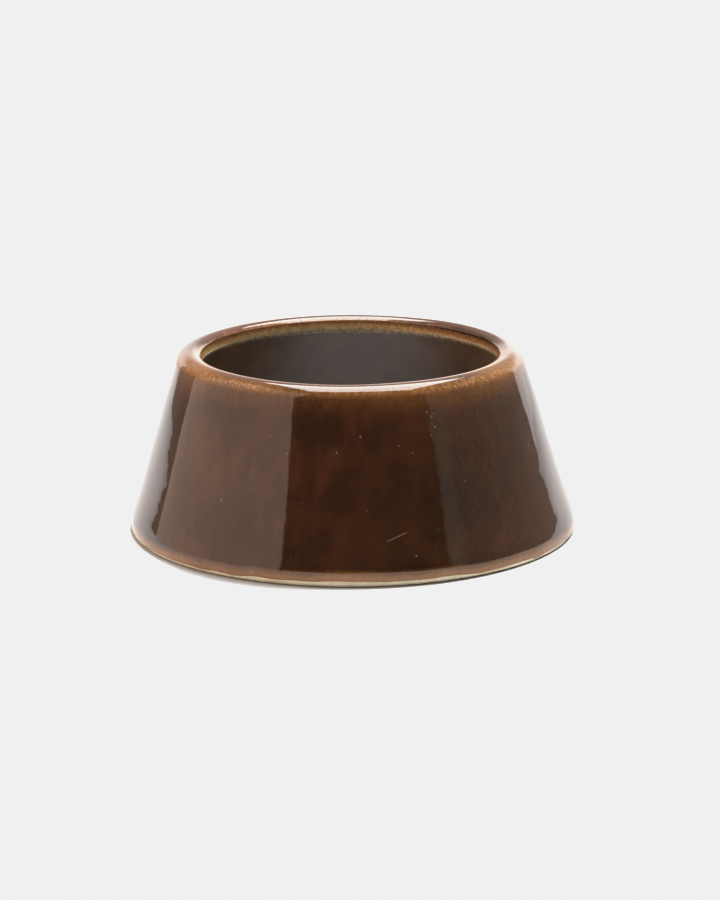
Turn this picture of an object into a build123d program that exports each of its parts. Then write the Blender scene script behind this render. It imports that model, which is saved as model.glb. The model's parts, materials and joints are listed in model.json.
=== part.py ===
"""Conical porcelain ring with a rolled lip at its narrow end and a bare foot at its wide end.

It is fired in one piece and has three layers, each its own solid: the clay body, the brown
glaze coat from the foot over the lip into the mouth, and the glaze coat on the inner wall.
Millimetres, +Z up, origin at the centre of the foot's seating plane.
"""

import os
from math import asin, atan2, cos, degrees, hypot, radians, sin, tan

from build123d import *

# Driving dimensions. Those of the outline are taken over the glaze.
BASE_DIAMETER = 90.0  # widest, where the outer glaze stops
MOUTH_DIAMETER = 60.0  # across the land inside the lip
HEIGHT = 36.5
GLAZE = 0.3  # thickness of both coats
ROLL_RADIUS = 6.0  # lower roll, in section
LIP_RADIUS = 3.2  # lip's round top, in section
LIP_END = 124  # where the lip's round meets the throat's, in degrees from level outwards
THROAT_RADIUS = 0.5  # turns the lip down into the mouth, in section
LAND_LENGTH = 1.6  # straight part of the mouth, below the throat
INNER_SLOPE = 15.5  # inner wall's lean from vertical, in degrees
FOOT_BARE = 0.8  # height of bare clay outside the foot
INNER_BARE = 1.6  # height of bare clay inside the foot
FOOT_BEVEL = 0.4  # on both edges of the foot

# Centres of the section's arcs, as (radius, height). The lower roll is widest at the glaze's end.
lip_end = radians(LIP_END)
centre_gap = LIP_RADIUS - THROAT_RADIUS
roll_centre = (BASE_DIAMETER / 2 - ROLL_RADIUS, FOOT_BARE)
throat_across = MOUTH_DIAMETER / 2 + THROAT_RADIUS
lip_centre = (throat_across - centre_gap * cos(lip_end), HEIGHT - LIP_RADIUS)
throat_centre = (throat_across, lip_centre[1] + centre_gap * sin(lip_end))

# The outer wall is the common tangent of the lower roll and the lip.
inward = roll_centre[0] - lip_centre[0]
upward = lip_centre[1] - roll_centre[1]
tangent_turn = asin((ROLL_RADIUS - LIP_RADIUS) / hypot(inward, upward))
wall_slope = degrees(atan2(inward, upward) + tangent_turn)

land_bottom = throat_centre[1] - LAND_LENGTH
inner_slope = radians(INNER_SLOPE)


def coated_run(depth):
    """Draw the section from the foot to the mouth, this far under the glaze's face.

    Gives the two ends: the glaze line at the foot, and the land's lower edge.
    """
    roll = CenterArc(roll_centre, ROLL_RADIUS - depth, 0, wall_slope)
    lip = CenterArc(lip_centre, LIP_RADIUS - depth, wall_slope, LIP_END - wall_slope)
    throat = CenterArc(throat_centre, THROAT_RADIUS - depth, LIP_END, 180 - LIP_END)
    land_edge = inner_wall(land_bottom, depth)
    Line(roll @ 1, lip @ 0)
    Line(throat @ 1, land_edge)
    return roll @ 0, land_edge


def inner_wall(height, depth):
    """The point of the inner wall at this height, this far outside the glaze's face."""
    return (MOUTH_DIAMETER / 2 + depth + (land_bottom - height) * tan(inner_slope), height)


# Clay body: the coated run, the bare foot, and the inner wall.
with BuildPart() as porcelain_body:
    with BuildSketch(Plane.XZ):
        with BuildLine():
            glaze_line, land_edge = coated_run(GLAZE)
            outer_bevel = (glaze_line.X, FOOT_BEVEL)
            inner_bevel = inner_wall(FOOT_BEVEL, GLAZE)
            seat = [(outer_bevel[0] - FOOT_BEVEL, 0), (inner_bevel[0] + FOOT_BEVEL, 0)]
            Polyline(glaze_line, outer_bevel, *seat, inner_bevel, land_edge)
        make_face()
    revolve(axis=Axis.Z)
porcelain_body.part.label = "porcelain_body"

# Outer glaze coat: the coated run at full depth and at the face, joined at both ends.
with BuildPart() as outer_glaze:
    with BuildSketch(Plane.XZ):
        with BuildLine():
            ends_on_clay = coated_run(GLAZE)
            ends_on_face = coated_run(0)
            for on_clay, on_face in zip(ends_on_clay, ends_on_face):
                Line(on_clay, on_face)
        make_face()
    revolve(axis=Axis.Z)
outer_glaze.part.label = "outer_glaze"

# Inner glaze coat: from the land's lower edge down to the bare band above the foot.
with BuildPart() as inner_glaze:
    with BuildSketch(Plane.XZ):
        with BuildLine():
            Polyline(
                inner_wall(land_bottom, 0),
                inner_wall(INNER_BARE, 0),
                inner_wall(INNER_BARE, GLAZE),
                inner_wall(land_bottom, GLAZE),
                close=True,
            )
        make_face()
    revolve(axis=Axis.Z)
inner_glaze.part.label = "inner_glaze"

os.makedirs("parts", exist_ok=True)
export_step(porcelain_body.part, "parts/porcelain_body.step")
export_step(outer_glaze.part, "parts/outer_glaze.step")
export_step(inner_glaze.part, "parts/inner_glaze.step")
print(f"outer wall leans {wall_slope:.2f} degrees; land from {land_bottom:.2f} to {throat_centre[1]:.2f} mm")
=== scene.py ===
"""Looks of a brown-glazed porcelain ring: a hollow truncated cone with a rolled lip and a bare foot.

The clay ring, its outer glaze coat and its inner glaze coat are built here as dense closed
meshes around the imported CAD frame. All three share one slightly uneven, hand-finished form.
Lengths are millimetres until a mesh is made; the meshes are in metres. Azimuth 0 faces -Y,
and 90 degrees faces +X. Colours are linear.
"""

import json
from math import cos, pi, radians, sin
from random import Random

import bpy
import numpy as np
from mathutils import Matrix, Vector


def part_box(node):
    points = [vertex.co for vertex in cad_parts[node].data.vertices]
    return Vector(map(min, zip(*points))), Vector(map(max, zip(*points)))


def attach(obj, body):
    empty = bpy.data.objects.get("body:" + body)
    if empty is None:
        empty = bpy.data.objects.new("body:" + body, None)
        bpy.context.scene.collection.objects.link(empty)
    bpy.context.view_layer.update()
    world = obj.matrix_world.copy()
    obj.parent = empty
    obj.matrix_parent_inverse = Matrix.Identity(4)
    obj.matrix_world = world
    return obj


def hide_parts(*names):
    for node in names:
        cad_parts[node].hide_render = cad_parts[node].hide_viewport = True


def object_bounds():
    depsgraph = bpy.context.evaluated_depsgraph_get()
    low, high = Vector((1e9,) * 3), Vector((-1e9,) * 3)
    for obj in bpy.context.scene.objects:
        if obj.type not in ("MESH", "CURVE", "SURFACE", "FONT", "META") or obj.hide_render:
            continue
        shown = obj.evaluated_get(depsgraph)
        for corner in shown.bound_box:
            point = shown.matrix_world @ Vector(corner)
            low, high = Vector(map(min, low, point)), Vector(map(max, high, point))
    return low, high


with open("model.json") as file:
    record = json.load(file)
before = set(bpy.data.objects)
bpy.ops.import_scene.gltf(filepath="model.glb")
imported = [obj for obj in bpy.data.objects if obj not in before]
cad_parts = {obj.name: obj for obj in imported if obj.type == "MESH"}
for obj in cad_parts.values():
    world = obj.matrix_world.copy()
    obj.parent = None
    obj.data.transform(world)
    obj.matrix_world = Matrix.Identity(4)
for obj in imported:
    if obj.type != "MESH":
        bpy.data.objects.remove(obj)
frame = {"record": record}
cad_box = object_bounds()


def rgb(r, g, b):
    return (r, g, b, 1.0)


MM = 0.001

# Sizes read from the frame.
height = cad_box[1].z / MM
base_radius = cad_box[1].x / MM
mouth = next(m for m in frame["record"]["mounts"] if m["name"] == "mouth")
mouth_radius = mouth["dims"]["r_mm"]
land_length = mouth["dims"]["length_mm"]
land_top = mouth["pos_m"][2] / MM + land_length / 2
land_bottom = land_top - land_length
glaze = (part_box("outer_glaze")[1].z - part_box("porcelain_body")[1].z) / MM
glaze_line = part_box("outer_glaze")[0].z / MM
inner_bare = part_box("inner_glaze")[0].z / MM
inner_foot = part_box("inner_glaze")[1].x / MM - glaze
inner_lean = (inner_foot - mouth_radius) / (land_bottom - inner_bare)

# The section's own shape.
LIP_RADIUS = 3.2
LIP_END = radians(124)  # where the lip's round meets the throat's
ROLL_RADIUS = 6.6
ROLL_LIFT = 1.0  # how much higher the roll is at the front and back than at the sides
FOOT_ROUND = 1.1  # foot's outer edge, where it is roundest
FOOT_ROUNDEST = radians(25)  # azimuth of that
FOOT_PROUD = 0.25  # bare band stands this far out of the clay under the glaze
FOOT_PROUD_END = (1.1, 1.5)  # heights between which the bare band steps back
INNER_FOOT_ROUND = 0.6
OUTER_BEAD = 0.32  # width of the outer coat's rounded lower edge
INNER_BEAD = 0.4
SUNK = 0.02  # a coat's hidden side goes this far into the clay

# How uneven the ring is.
LEAN = -0.0155  # sideways lean of the whole ring, mm per mm of height
TILT = 0.002  # rise of the mouth's plane towards +X, mm per mm
BOWS = [(26, 4, 0.10), (11.5, 5, -0.10), (4, 2, 0.06)]  # of the wall: height, half width, how far out
THROWING_DEPTH = 0.020
FINGER_DEPTH = 0.035
INNER_FINGER_DEPTH = 0.03
RIPPLE_RUN = 0.9  # how fast the ripples change with height

# Points of the meshes.
SEGMENTS = 720
FOOT_ROWS = 14  # up the straight face below the lower roll
ROLL_ROWS = 22
WALL_ROWS = 64
LIP_ROWS = 34
THROAT_ROWS = 10
LAND_ROWS = 12
INNER_ROWS = 60
FOOT_EDGE_ROWS = 10
INNER_FOOT_EDGE_ROWS = 8
UNDER_STEP = 6  # a coat's hidden side keeps one row in this many
INNER_CLAY_STEP = 3

# Small faults in the glaze of the front: azimuth in degrees, height and radius in mm.
PINHOLES = [
    (24.0, 31.6, 0.22), (25.3, 30.4, 0.20), (26.4, 30.7, 0.16), (25.8, 28.5, 0.18), (24.7, 27.0, 0.14),
    (3.2, 27.7, 0.24), (-3.9, 24.8, 0.22), (13.9, 25.5, 0.16), (17.9, 24.4, 0.16), (-18.3, 24.4, 0.20),
    (-37.6, 14.0, 0.24), (15.8, 5.7, 0.20), (4.1, 14.3, 0.14), (-24.0, 27.0, 0.14), (33.0, 18.0, 0.14),
]
SCRATCH = [(9.1, 8.3), (14.0, 10.1)]
SCRATCH_WIDTH = 0.13
SPOT_CELLS = 0.21  # cells per mm, with one random spot in each

# The outer glaze, from its dark body to where it thins, and its faults.
GLAZE_DARK = rgb(0.030, 0.0125, 0.0065)
GLAZE_BROWN = rgb(0.054, 0.0200, 0.0100)
GLAZE_RED = rgb(0.078, 0.027, 0.0115)
GLAZE_SHADE = rgb(0.018, 0.0090, 0.0042)
AMBER = rgb(0.135, 0.055, 0.0165)
AMBER_LIGHT = rgb(0.28, 0.13, 0.045)
FLECK = rgb(0.27, 0.14, 0.052)
PIT = rgb(0.012, 0.006, 0.004)
SPECK = rgb(0.30, 0.22, 0.16)
# The pale colour below paints a highlight on each pinhole and gives the scratch its pale line.
PINHOLE_GLINT_AND_SCRATCH = rgb(0.30, 0.23, 0.17)

# The land, from the top down, and its blotches.
# The brown at the land's top is the glaze's own brown, lightened to paint a pinkish sheen.
LAND_BROWN_AND_SHEEN = rgb(0.26, 0.125, 0.055)
LAND_GOLD = rgb(0.64, 0.37, 0.145)
LAND_OLIVE = rgb(0.50, 0.40, 0.23)
LAND_BLOTCH = rgb(0.16, 0.085, 0.040)

INNER_DARK = rgb(0.062, 0.035, 0.021)
INNER_LIGHT = rgb(0.100, 0.060, 0.037)
INNER_ROUGHNESS = 0.33

BISCUIT_LIGHT = rgb(0.88, 0.79, 0.58)
BISCUIT_STAIN = rgb(0.76, 0.65, 0.45)
BISCUIT_SPECK = rgb(0.20, 0.12, 0.07)
BISCUIT_GRAIN = rgb(0.90, 0.84, 0.70)

GLAZE_IOR = 1.5
BISCUIT_IOR = 1.45

# The table, in metres, and how its colour changes with distance from the ring: a painted pool of light,
# brightest round the ring.
TABLE_SIDE = 0.7
TABLE_NEAR = -0.8
TABLE_FAR = 0.37
TABLE_PALE = rgb(0.43, 0.43, 0.43)
TABLE_GREY = rgb(0.31, 0.31, 0.31)
TABLE_LIGHT_FALLOFF = (0.15, 0.55)

# Light from all round.
CAMERA_SIDE = rgb(0.02, 0.018, 0.016)
BACK_SIDE = rgb(0.42, 0.36, 0.32)
BACKDROP_RIGHT = rgb(2.6, 2.45, 2.4)
BACKDROP_LEFT = rgb(1.8, 1.75, 1.7)
PANEL_LEFT = rgb(1.90, 1.45, 1.20)
PANEL_RIGHT = rgb(0.36, 0.30, 0.28)
PANEL_RIGHT_FAR = rgb(0.49, 0.42, 0.39)
PANEL_RIGHT_STRIP = rgb(0.50, 0.48, 0.42)
BOX_MIRRORED = rgb(13.0, 12.6, 12.2)
BOX_CAST = rgb(5.6, 5.5, 5.4)  # what the box gives to the table and to the colours
PAST_THE_TABLE = rgb(1.3, 1.3, 1.3)
WHITE_LEVEL = 0.871  # what the brightest white is printed as

throat_radius = height - land_top - LIP_RADIUS * (1 - sin(LIP_END))
centre_gap = LIP_RADIUS - throat_radius
lip_centre_r = mouth_radius + throat_radius - centre_gap * cos(LIP_END)
lip_centre_z = height - LIP_RADIUS


def smooth(start, end, value):
    """Rise smoothly from 0 at start to 1 at end."""
    t = np.clip((value - start) / (end - start), 0, 1)
    return t * t * (3 - 2 * t)


def hump(centre, width, value):
    """1 at the centre, falling away to both sides."""
    return np.exp(-(((value - centre) / width) ** 2))


class Ripple:
    """A smooth uneven field round the ring, the same each run."""

    def __init__(self, seed, waves, around, along):
        rng = Random(seed)
        self.waves = [
            (rng.randint(*around), rng.uniform(-along, along), rng.uniform(0, 2 * pi), rng.uniform(0.4, 1))
            for _ in range(waves)
        ]
        self.scale = 1 / np.sqrt(sum(w[3] ** 2 for w in self.waves) / 2)

    def __call__(self, azimuth, run):
        total = sum(a * np.cos(k * azimuth + m * run + p) for k, m, p, a in self.waves)
        return total * self.scale


throwing = Ripple(seed=3, waves=18, around=(5, 15), along=0.3)
finger = Ripple(seed=11, waves=10, around=(2, 6), along=0.12)
edge_drift = Ripple(seed=5, waves=14, around=(2, 40), along=0.0)
foot_drift = Ripple(seed=8, waves=14, around=(2, 30), along=0.0)

azimuths = np.arange(SEGMENTS) * (2 * pi / SEGMENTS)
from_front = np.minimum(azimuths, 2 * pi - azimuths)
ones = np.ones(SEGMENTS)
zeros = np.zeros(SEGMENTS)


def steps_to(count):
    """Even steps from 0 towards 1, without the 1, where the next part starts."""
    return np.linspace(0, 1, count, endpoint=False)


def straight(start, end, angle, steps):
    """Points of a straight part of the section, as radius, height and normal's angle."""
    r, z = start
    across, up = end[0] - r, end[1] - z
    return [(r + across * t, z + up * t, angle) for t in steps]


def arc(centre, radius, start, end, steps):
    """Points of a round part of the section, between two angles of its normal."""
    r, z = centre
    angles = [start + (end - start) * t for t in steps]
    return [(r + radius * np.cos(angle), z + radius * np.sin(angle), angle) for angle in angles]


def spread(points):
    """Radius, height and outward normal of a section's points, as arrays of points by azimuths."""
    r, z, angle = (np.array([value * ones for value in column]) for column in zip(*points))
    return r, z, np.cos(angle), np.sin(angle)


def coated_run():
    """The outer face from the foot, over the lip, to the land's lower edge."""
    roll_r = base_radius - ROLL_RADIUS
    roll_z = glaze_line + ROLL_LIFT * np.cos(azimuths) ** 2
    inward = roll_r - lip_centre_r
    upward = lip_centre_z - roll_z
    gap = np.hypot(inward, upward)
    slope = np.arctan2(inward, upward) + np.arcsin((ROLL_RADIUS - LIP_RADIUS) / gap)
    low = (roll_r + ROLL_RADIUS * np.cos(slope), roll_z + ROLL_RADIUS * np.sin(slope))
    high = (lip_centre_r + LIP_RADIUS * np.cos(slope), lip_centre_z + LIP_RADIUS * np.sin(slope))
    throat = (mouth_radius + throat_radius, land_top)
    land = [(mouth_radius, land_top), (mouth_radius, land_bottom)]

    points = straight((base_radius, 0), (base_radius, roll_z), 0, steps_to(FOOT_ROWS))
    points += arc((roll_r, roll_z), ROLL_RADIUS, 0, slope, steps_to(ROLL_ROWS))
    points += straight(low, high, slope, steps_to(WALL_ROWS))
    points += arc((lip_centre_r, lip_centre_z), LIP_RADIUS, slope, LIP_END, steps_to(LIP_ROWS))
    points += arc(throat, throat_radius, LIP_END, pi, steps_to(THROAT_ROWS))
    points += straight(*land, pi, np.linspace(0, 1, LAND_ROWS))
    return spread(points)


def inner_run():
    """The inner wall's face from the land's lower edge down to the foot."""
    angle = pi + np.arctan(inner_lean)
    foot = (mouth_radius + inner_lean * land_bottom, 0)
    return spread(straight((mouth_radius, land_bottom), foot, angle, np.linspace(0, 1, INNER_ROWS)))


def shaped(r, z, nr, nz, depth):
    """Sink a run below the face and give it the ring's uneven form, as x, y and z."""
    run = z * RIPPLE_RUN
    bow = sum(out * hump(centre, width, z) for centre, width, out in BOWS)
    wall = smooth(4, 9, z) * (1 - 0.6 * smooth(31, 36, z))
    outside = nr > -0.5
    ripple = THROWING_DEPTH * wall * throwing(azimuths, run) + FINGER_DEPTH * finger(azimuths, run)
    uneven = (ripple + bow) * outside + INNER_FINGER_DEPTH * finger(azimuths, run) * ~outside
    sink = uneven - depth
    r = r + nr * sink
    z = z + nz * sink
    x = r * np.sin(azimuths)
    z = z + TILT * x * z / height
    x = x + LEAN * z
    y = -r * np.cos(azimuths)
    return x, y, z


def bead(along, width):
    """How far a coat's rounded edge has sunk at this distance from the edge."""
    t = np.clip(1 - along / width, 0, 1)
    return 1 - np.sqrt(1 - t * t)


def closed_coat(r, z, nr, nz, face):
    """A coat's face with its hidden side added, and the face's row that each row follows."""
    under = list(range(0, len(face), UNDER_STEP))[::-1]
    back = [shaped(r[i], z[i], nr[i], nz[i], glaze + SUNK) for i in under]
    return face + back, list(range(len(face))) + under


def skin(name, rows, material, node, attributes=()):
    """Close rows of points round the ring into one mesh that stands for a CAD node."""
    count = len(rows)
    points = np.stack([np.stack(row, axis=-1) for row in rows]).reshape(-1, 3) * MM
    near = np.arange(SEGMENTS)
    far = (near + 1) % SEGMENTS
    faces = []
    for i in range(count):
        low = i * SEGMENTS
        high = (i + 1) % count * SEGMENTS
        faces.append(np.stack([low + near, low + far, high + far, high + near], axis=-1))
    mesh = bpy.data.meshes.new(name)
    mesh.from_pydata(points.tolist(), [], np.concatenate(faces).tolist())
    mesh.shade_smooth()
    for label, values in attributes:
        layer = mesh.attributes.new(label, "FLOAT", "POINT")
        layer.data.foreach_set("value", np.asarray(values, dtype=np.float32).ravel())
    mesh.materials.append(material)
    piece = bpy.data.objects.new(name, mesh)
    bpy.context.scene.collection.objects.link(piece)
    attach(piece, "root")
    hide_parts(node)


class Nodes:
    """Adds shader nodes to one tree. An input given as a socket is linked; any other is set."""

    def __init__(self, tree):
        self.tree = tree
        tree.nodes.clear()

    def add(self, kind, inputs=None, **settings):
        node = self.tree.nodes.new(kind)
        for name, value in settings.items():
            setattr(node, name, value)
        for key, value in (inputs or {}).items():
            if isinstance(value, bpy.types.NodeSocket):
                self.tree.links.new(value, node.inputs[key])
            else:
                node.inputs[key].default_value = value
        return node

    def math(self, operation, first, second=0.0):
        return self.add("ShaderNodeMath", {0: first, 1: second}, operation=operation).outputs[0]

    def scaled(self, value, factor):
        return self.math("MULTIPLY", value, factor)

    def vector(self, operation, inputs):
        return self.add("ShaderNodeVectorMath", inputs, operation=operation).outputs

    def rise(self, value, start, end, low=0.0, high=1.0):
        """Go smoothly from low at start to high at end."""
        inputs = {0: value, 1: start, 2: end, 3: low, 4: high}
        return self.add("ShaderNodeMapRange", inputs, interpolation_type="SMOOTHSTEP").outputs[0]

    def window(self, value, start, end, soft):
        """1 between start and end, 0 outside, with soft edges."""
        opening = self.rise(value, start - soft / 2, start + soft / 2)
        closing = self.rise(value, end - soft / 2, end + soft / 2, 1.0, 0.0)
        return self.math("MULTIPLY", opening, closing)

    def mix(self, amount, first, second):
        inputs = {0: amount, 6: first, 7: second}
        return self.add("ShaderNodeMix", inputs, data_type="RGBA").outputs[2]

    def noise(self, place, scale, detail, roughness, distortion=0.0):
        shape = {"Scale": scale, "Detail": detail, "Roughness": roughness, "Distortion": distortion}
        return self.add("ShaderNodeTexNoise", {"Vector": place, **shape}).outputs[0]

    def place(self, stretch=(1.0, 1.0, 1.0)):
        """Position in the ring's own frame, in millimetres, stretched for streaks."""
        source = self.add("ShaderNodeTexCoord").outputs["Object"]
        scale = tuple(s / MM for s in stretch)
        return self.add("ShaderNodeMapping", {"Vector": source, "Scale": scale}).outputs[0]

    def attribute(self, name):
        return self.add("ShaderNodeAttribute", attribute_name=name).outputs["Fac"]


def new_material(name):
    material = bpy.data.materials.new(name)
    material.use_nodes = True
    return material, Nodes(material.node_tree)


def finish_surface(n, colour, roughness, relief, relief_mm, ior):
    """Principled surface with this colour, roughness and relief."""
    bump = n.add("ShaderNodeBump", {"Strength": 1.0, "Distance": relief_mm * MM, "Height": relief})
    inputs = {"Base Color": colour, "Roughness": roughness, "IOR": ior, "Normal": bump.outputs[0]}
    shader = n.add("ShaderNodeBsdfPrincipled", inputs)
    n.add("ShaderNodeOutputMaterial", {"Surface": shader.outputs[0]})


def land_colour(n, place, base):
    """Brown lightened with a painted sheen, then golden, then olive down the land inside the mouth, fading
    into the base colour.
    """
    land = n.attribute("land")
    drift = n.math("SUBTRACT", n.noise(place, scale=1.6, detail=5, roughness=0.7), 0.5)
    drift = n.math("MULTIPLY", drift, n.rise(land, -1.0, -0.5, 0.0, 1.3))
    land = n.math("ADD", land, drift)
    # Brown with a painted sheen at the land's top.
    brown = n.mix(n.rise(land, -0.6, 0.0), base, LAND_BROWN_AND_SHEEN)
    golden = n.mix(n.rise(land, 0.0, 0.5), brown, LAND_GOLD)
    olive = n.mix(n.rise(land, 0.45, 0.9), golden, LAND_OLIVE)
    blotch = n.rise(n.noise(place, scale=1.1, detail=5, roughness=0.75), 0.42, 0.62, 0.40, 0.0)
    blotch = n.math("MULTIPLY", blotch, n.rise(land, -0.2, 0.3))
    olive = n.mix(blotch, olive, LAND_BLOTCH)
    return n.mix(n.rise(land, 0.9, 1.7), olive, base)


def glaze_body(n, place, cloud):
    """Clouded dark brown with redder streaks, darkest low down on the right."""
    streak = n.noise(n.place(stretch=(1.0, 1.0, 0.22)), scale=0.32, detail=1, roughness=0.55)
    body = n.mix(n.rise(cloud, 0.35, 0.68), GLAZE_DARK, GLAZE_BROWN)
    body = n.mix(n.rise(streak, 0.45, 0.8, 0.0, 0.5), body, GLAZE_RED)
    across, _, up = n.add("ShaderNodeSeparateXYZ", {0: place}).outputs
    low_right = n.rise(n.math("SUBTRACT", across, n.scaled(up, 0.8)), -24.0, 4.0, 0.0, 0.55)
    return n.mix(low_right, body, GLAZE_SHADE)


def thinned(n, body, cloud, fine):
    """The body turned amber where the coat is thin, with golden flecks."""
    wobble = n.scaled(n.math("SUBTRACT", fine, 0.5), 0.5)
    wobble = n.math("ADD", wobble, n.scaled(n.math("SUBTRACT", cloud, 0.5), 0.5))
    thin = n.attribute("thin")
    thin = n.math("ADD", thin, n.math("MULTIPLY", wobble, n.rise(thin, 0.0, 0.35)))
    colour = n.mix(n.rise(thin, 0.0, 0.55), body, AMBER)
    colour = n.mix(n.rise(thin, 0.55, 1.1), colour, AMBER_LIGHT)
    brushed = n.place(stretch=(1.0, 1.0, 0.45))
    brushed = n.noise(brushed, scale=1.6, detail=4, roughness=0.7, distortion=1.2)
    flecks = n.math("MULTIPLY", n.attribute("fleck"), n.rise(brushed, 0.46, 0.62))
    return n.mix(n.scaled(flecks, 0.9), colour, FLECK)


def spots(n, place, inner, outer):
    """Small random spots as a mask, solid to the inner radius and gone at the outer one."""
    cells = n.add("ShaderNodeTexVoronoi", {"Vector": place, "Scale": SPOT_CELLS})
    return n.rise(cells.outputs["Distance"], inner, outer, 1.0, 0.0)


def on_face(face, degrees, z):
    """The face's nearest point to this azimuth and height, in millimetres."""
    column = face[:, round(degrees * SEGMENTS / 360) % SEGMENTS]
    return Vector(column[np.abs(column[:, 2] - z).argmin()])


def marks(n, place, face):
    """Masks of the pinholes and the scratch: one for a painted highlight on each pinhole and a pale
    scratch line, one for grooving both.
    """
    bright = 0.0
    for degrees, z, radius in PINHOLES:
        away = n.vector("DISTANCE", {0: place, 1: on_face(face, degrees, z)})["Value"]
        # Each pinhole's spot is a painted highlight.
        spot = n.rise(away, 0.3 * radius, 1.1 * radius, 0.6, 0.0)
        bright = n.math("MAXIMUM", bright, spot)
    start, end = on_face(face, *SCRATCH[0]), on_face(face, *SCRATCH[1])
    offset = n.vector("SUBTRACT", {0: place, 1: start})["Vector"]
    run = n.vector("DOT_PRODUCT", {0: offset, 1: (end - start).normalized()})["Value"]
    reach = n.vector("LENGTH", {0: offset})["Value"]
    aside = n.math("SUBTRACT", n.math("MULTIPLY", reach, reach), n.math("MULTIPLY", run, run))
    line = n.rise(aside, 0.0, SCRATCH_WIDTH**2, 1.0, 0.0)
    line = n.math("MULTIPLY", line, n.window(run, 0.0, (end - start).length, soft=0.6))
    bright = n.math("MAXIMUM", bright, n.scaled(line, 0.35))
    return bright, n.math("MAXIMUM", bright, line)


def outer_relief(n, place, pit, groove):
    """Slow swell, orange peel, grain, pits and marks, in hundredths of a millimetre."""
    grain = n.noise(place, scale=3.2, detail=3, roughness=0.6)
    peel = n.noise(place, scale=0.35, detail=2, roughness=0.5)
    swell = n.noise(place, scale=0.15, detail=2, roughness=0.4)
    relief = n.math("ADD", peel, n.scaled(grain, 0.015))
    relief = n.math("ADD", relief, n.scaled(swell, 7.0))
    relief = n.math("SUBTRACT", relief, n.scaled(pit, 3.0))
    return n.math("SUBTRACT", relief, n.scaled(groove, 2.0))


def outer_glaze_material(face):
    """Dark brown glaze, amber where it thins on the lip and just above its lower edge."""
    material, n = new_material("brown_glaze")
    place = n.place()
    cloud = n.noise(place, scale=0.075, detail=3, roughness=0.55)
    fine = n.noise(place, scale=1.1, detail=5, roughness=0.7)
    colour = thinned(n, glaze_body(n, place, cloud), cloud, fine)
    colour = land_colour(n, place, colour)
    pit = spots(n, place, 0.025, 0.05)
    speck = spots(n, n.place(stretch=(1.3, 1.3, 1.3)), 0.01, 0.035)
    bright, groove = marks(n, place, face)
    colour = n.mix(n.scaled(pit, 0.8), colour, PIT)
    colour = n.mix(n.scaled(speck, 0.5), colour, SPECK)
    # A painted highlight on each pinhole, and the scratch's pale line.
    colour = n.mix(bright, colour, PINHOLE_GLINT_AND_SCRATCH)
    roughness = n.rise(fine, 0.3, 0.8, 0.03, 0.05)
    relief = outer_relief(n, place, pit, groove)
    finish_surface(n, colour, roughness, relief, relief_mm=0.010, ior=GLAZE_IOR)
    return material


def inner_glaze_material():
    """Thinner, duller brown glaze of the inner wall, olive along its top edge."""
    material, n = new_material("inner_glaze")
    place = n.place()
    cloud = n.noise(place, scale=0.12, detail=5, roughness=0.6)
    base = n.mix(n.rise(cloud, 0.3, 0.7), INNER_DARK, INNER_LIGHT)
    colour = land_colour(n, place, base)
    relief = n.noise(place, scale=0.6, detail=3, roughness=0.5)
    finish_surface(n, colour, INNER_ROUGHNESS, relief, relief_mm=0.02, ior=GLAZE_IOR)
    return material


def biscuit_material():
    """Bare cream clay, speckled and a little stained, as fired."""
    material, n = new_material("biscuit")
    place = n.place()
    cloud = n.noise(place, scale=0.35, detail=4, roughness=0.6)
    grain = n.noise(place, scale=6.0, detail=3, roughness=0.7)
    speck = n.noise(place, scale=2.3, detail=2, roughness=0.5)
    colour = n.mix(n.rise(cloud, 0.35, 0.7), BISCUIT_LIGHT, BISCUIT_STAIN)
    colour = n.mix(n.rise(speck, 0.66, 0.75, 0.0, 0.7), colour, BISCUIT_SPECK)
    colour = n.mix(n.rise(grain, 0.4, 0.8, 0.0, 0.25), colour, BISCUIT_GRAIN)
    finish_surface(n, colour, n.rise(grain, 0.2, 0.8, 0.6, 0.85), grain, relief_mm=0.06, ior=BISCUIT_IOR)
    return material


def outer_edge():
    """Height of the outer coat's lower edge: highest at the front, wandering a little."""
    rise = 0.60 * hump(0, radians(34), from_front) + 0.30 * hump(pi, 1.0, from_front)
    return 0.66 * glaze_line + rise + 0.08 * edge_drift(azimuths, 0)


def thin_and_fleck(z, tilt, edge):
    """How thin the outer coat is, and how much it is flecked, at this height and tilt."""
    beside = hump(radians(68), radians(25), from_front)
    shoulder = (0.31 + 0.16 * beside) * smooth(28.8, 35.8, z)
    over_the_lip = 1 - (0.75 - 0.55 * beside) * smooth(32, 75, tilt)
    crest = 0.20 * hump(0, 0.9, from_front) * smooth(82, 105, tilt)
    foot = 1 - smooth(0.5, 2.7, z - edge)
    thin = np.maximum(shoulder * over_the_lip + crest, foot)
    below_the_lip = (0.30 + 0.70 * hump(radians(50), 0.55, from_front)) * hump(44, 15, tilt)
    return thin, below_the_lip + 0.45 * foot


def down_the_land(z, tilt):
    """0 at the land's top, 1 at its bottom and -1 away from it; less where brown glaze runs over it."""
    overrun = 0.6 * hump(radians(122), 0.6, azimuths) + 0.3 * hump(radians(245), 0.4, azimuths)
    down = np.clip((land_top - z) / land_length, -1, 1) - overrun
    return np.where(tilt > 100, down, -1.0)


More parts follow.
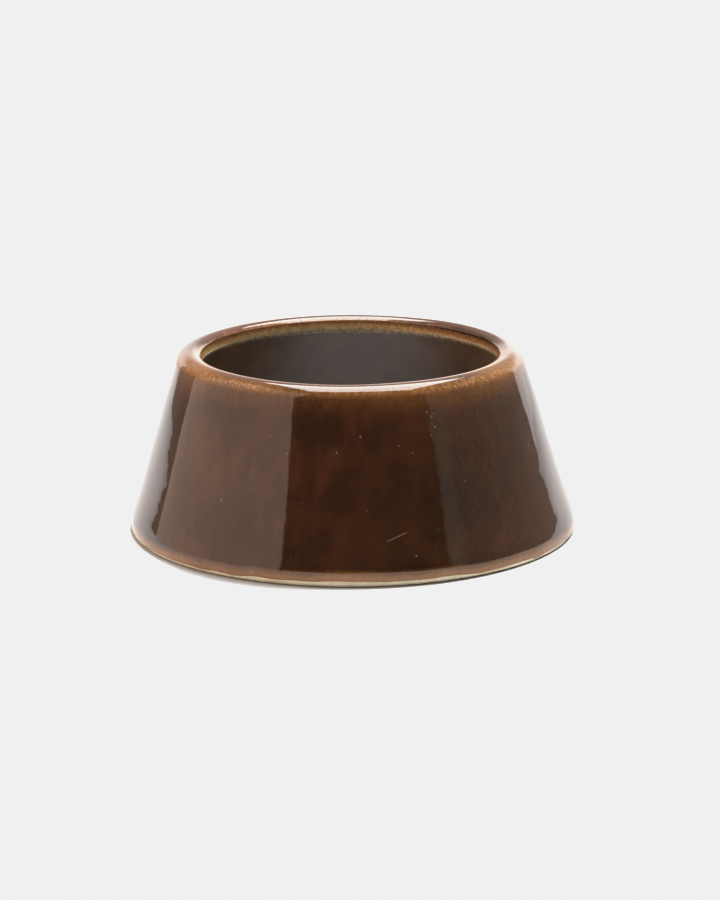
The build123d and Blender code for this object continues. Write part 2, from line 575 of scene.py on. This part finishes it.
def build_outer_glaze():
    """Brown coat from its lower edge, over the lip, to the land's lower edge."""
    r, z, nr, nz = coated_run()
    edge = outer_edge()
    z[:FOOT_ROWS] = edge + (z[FOOT_ROWS] - edge) * steps_to(FOOT_ROWS)[:, None]
    sunk = glaze * bead(z - edge, OUTER_BEAD)
    tilt = np.degrees(np.arctan2(nz, nr))
    thin, fleck = thin_and_fleck(z, tilt, edge)
    land = down_the_land(z, tilt)
    face = [shaped(r[i], z[i], nr[i], nz[i], sunk[i]) for i in range(len(r))]
    material = outer_glaze_material(np.stack([np.stack(row, axis=-1) for row in face]))
    rows, follows = closed_coat(r, z, nr, nz, face)
    attributes = [("thin", thin[follows]), ("fleck", fleck[follows]), ("land", land[follows])]
    skin("brown_glaze_coat", rows, material, "outer_glaze", attributes)


def build_inner_glaze():
    """Coat of the inner wall, from the land's lower edge down to a little above the foot."""
    r, z, nr, nz = inner_run()
    keep = z[:, 0] > inner_bare
    r, z, nr, nz = r[keep], z[keep], nr[keep], nz[keep]
    edge = inner_bare + 0.15 * foot_drift(azimuths, 0)
    sunk = glaze * bead(z - edge, INNER_BEAD)
    land = 1 + (land_bottom - z) / land_length
    face = [shaped(r[i], np.maximum(z[i], edge), nr[i], nz[i], sunk[i]) for i in range(len(r))]
    rows, follows = closed_coat(r, z, nr, nz, face)
    attributes = [("land", land[follows])]
    skin("inner_glaze_coat", rows, inner_glaze_material(), "inner_glaze", attributes)


def foot_edge_rows():
    """The foot's rounded outer edge, rounder near the front than elsewhere."""
    aside = (azimuths - FOOT_ROUNDEST + pi) % (2 * pi) - pi
    radius = FOOT_ROUND * (0.6 + 0.4 * hump(0, 1.2, aside))
    centre_r = base_radius - glaze + FOOT_PROUD - radius
    rows = []
    for t in steps_to(FOOT_EDGE_ROWS):
        angle = -pi / 2 * (1 - t)
        rows.append(shaped(centre_r + radius * cos(angle), radius + radius * sin(angle), zeros, zeros, 0))
    return rows


def inner_foot_edge_rows():
    """The foot's rounded inner edge, down to the table."""
    centre_r = mouth_radius + inner_lean * land_bottom + glaze + INNER_FOOT_ROUND
    rows = []
    for t in np.linspace(0, 1, INNER_FOOT_EDGE_ROWS):
        angle = pi + pi / 2 * t
        r = centre_r + INNER_FOOT_ROUND * cos(angle)
        z = INNER_FOOT_ROUND + INNER_FOOT_ROUND * sin(angle)
        rows.append(shaped(r * ones, z * ones, zeros, zeros, 0))
    return rows


def build_body():
    """Clay ring: under both coats, with its own rounded, bare foot."""
    rows = foot_edge_rows()
    r, z, nr, nz = coated_run()
    for i in range(len(r)):
        if z[i][0] > FOOT_ROUND + 0.1 or nr[i][0] < 0.5:
            proud = FOOT_PROUD * (1 - smooth(*FOOT_PROUD_END, z[i])) * (nr[i] > 0.9)
            rows.append(shaped(r[i], z[i], nr[i], nz[i], glaze - proud))
    r, z, nr, nz = inner_run()
    for i in range(1, len(r), INNER_CLAY_STEP):
        if z[i][0] > INNER_FOOT_ROUND:
            rows.append(shaped(r[i], z[i], nr[i], nz[i], glaze))
    rows += inner_foot_edge_rows()
    skin("clay_ring", rows, biscuit_material(), "porcelain_body")


def floor():
    """Pale table top, painted brightest round the ring as a pool of light that dims to grey further out.
    """
    mesh = bpy.data.meshes.new("table_top")
    near = [(-TABLE_SIDE, TABLE_NEAR, 0), (TABLE_SIDE, TABLE_NEAR, 0)]
    far = [(TABLE_SIDE, TABLE_FAR, 0), (-TABLE_SIDE, TABLE_FAR, 0)]
    mesh.from_pydata(near + far, [], [(0, 1, 2, 3)])
    material, n = new_material("table_top")
    place = n.add("ShaderNodeTexCoord").outputs["Object"]
    away = n.vector("LENGTH", {0: place})["Value"]
    # The grey further out is a painted falloff of light.
    colour = n.mix(n.rise(away, *TABLE_LIGHT_FALLOFF), TABLE_PALE, TABLE_GREY)
    inputs = {"Base Color": colour, "Roughness": 0.8, "Specular IOR Level": 0.1}
    shader = n.add("ShaderNodeBsdfPrincipled", inputs)
    n.add("ShaderNodeOutputMaterial", {"Surface": shader.outputs[0]})
    mesh.materials.append(material)
    top = bpy.data.objects.new("table_top", mesh)
    bpy.context.scene.collection.objects.link(top)


def backdrops(n, azimuth, elevation):
    """Dark on the camera's side, dim behind, with a white card low down on each side behind."""
    aside = n.math("ABSOLUTE", azimuth)
    light = n.mix(n.rise(aside, 100, 125), CAMERA_SIDE, BACK_SIDE)
    low = n.math("MULTIPLY", n.rise(elevation, 11, 20, 1, 0.2), n.rise(elevation, -1, 7, 0.72, 1))
    right = n.math("MULTIPLY", n.rise(azimuth, 132, 134), low)
    light = n.mix(right, light, BACKDROP_RIGHT)
    left = n.math("MULTIPLY", n.rise(azimuth, -147, -145, 1, 0), low)
    return n.mix(left, light, BACKDROP_LEFT)


def side_panels(n, azimuth, elevation, light):
    """A warm panel on the left, and a dimmer one on the right with a brighter near edge."""
    left = n.window(azimuth, -121, -36.7, soft=1.2)
    left = n.math("MULTIPLY", left, n.rise(elevation, 58, 62, 1, 0))
    light = n.mix(left, light, PANEL_LEFT)
    right = n.window(azimuth, 52, 128, soft=2.0)
    right = n.math("MULTIPLY", right, n.rise(elevation, 48, 52, 1, 0))
    panel = n.mix(n.rise(azimuth, 70, 128), PANEL_RIGHT, PANEL_RIGHT_FAR)
    panel = n.mix(n.window(azimuth, 53, 61, soft=4.0), panel, PANEL_RIGHT_STRIP)
    return n.mix(right, light, panel)


def overhead_box(n, x, y, z):
    """Mask of a flat box above the ring, reaching behind it."""
    up = n.math("MAXIMUM", z, 0.001)
    across = n.window(n.math("DIVIDE", x, up), -0.275, 0.44, soft=0.03)
    along = n.window(n.math("DIVIDE", y, up), -0.13, 1.0, soft=0.03)
    return n.math("MULTIPLY", n.math("MULTIPLY", across, along), n.rise(z, 0.2, 0.3))


def studio():
    """Far softboxes and cards round a dark camera side, over a bright table."""
    world = bpy.data.worlds.new("studio")
    world.use_nodes = True
    bpy.context.scene.world = world
    n = Nodes(world.node_tree)
    toward = n.add("ShaderNodeTexCoord").outputs["Generated"]
    x, y, z = n.add("ShaderNodeSeparateXYZ", {0: toward}).outputs
    azimuth = n.math("DEGREES", n.math("ARCTAN2", x, n.scaled(y, -1.0)))
    elevation = n.math("DEGREES", n.math("ARCSINE", z))

    light = backdrops(n, azimuth, elevation)
    light = side_panels(n, azimuth, elevation, light)
    path = n.add("ShaderNodeLightPath").outputs
    box = n.mix(path["Is Diffuse Ray"], BOX_MIRRORED, BOX_CAST)
    light = n.mix(overhead_box(n, x, y, z), light, box)
    light = n.mix(path["Is Camera Ray"], light, PAST_THE_TABLE)
    surface = n.add("ShaderNodeBackground", {"Color": light, "Strength": 1.0})
    n.add("ShaderNodeOutputWorld", {"Surface": surface.outputs[0]})


def key_light():
    """Soft light from behind the ring, to its right, lighting surfaces but not mirrored in them."""
    data = bpy.data.lights.new("key", "SUN")
    data.energy = 9.0
    data.angle = radians(5)
    lamp = bpy.data.objects.new("key", data)
    lamp.visible_glossy = False
    azimuth, elevation = radians(152), radians(69.7)
    level = cos(elevation)
    toward = Vector((sin(azimuth) * level, -cos(azimuth) * level, sin(elevation)))
    lamp.rotation_euler = toward.to_track_quat("Z", "Y").to_euler()
    bpy.context.scene.collection.objects.link(lamp)


def camera():
    """Look slightly down at the ring's front, from well back with a long lens."""
    distance = 0.6131
    pitch = radians(14.616)
    roll = radians(-0.15)
    aim = Vector((0.00142, 0.0, 0.01536))
    data = bpy.data.cameras.new("view")
    data.lens = 121.06
    data.sensor_width = 36.0
    data.clip_end = 50.0
    eye = bpy.data.objects.new("view", data)
    back = Vector((0, -cos(pitch), sin(pitch)))
    turned = Matrix.Rotation(pi / 2 - pitch, 4, "X") @ Matrix.Rotation(roll, 4, "Z")
    eye.matrix_world = Matrix.Translation(aim + distance * back) @ turned
    bpy.context.scene.collection.objects.link(eye)
    bpy.context.scene.camera = eye


def exposure():
    """Print white stops at a light grey, so the bright table stays plain."""
    settings = bpy.context.scene.view_settings
    settings.view_transform = "Standard"
    settings.use_curve_mapping = True
    curve = settings.curve_mapping
    curve.extend = "HORIZONTAL"
    all_channels = curve.curves[3]
    all_channels.points[1].location = (1.0, WHITE_LEVEL)
    curve.update()


camera()
build_body()
build_outer_glaze()
build_inner_glaze()
floor()
studio()
key_light()
exposure()
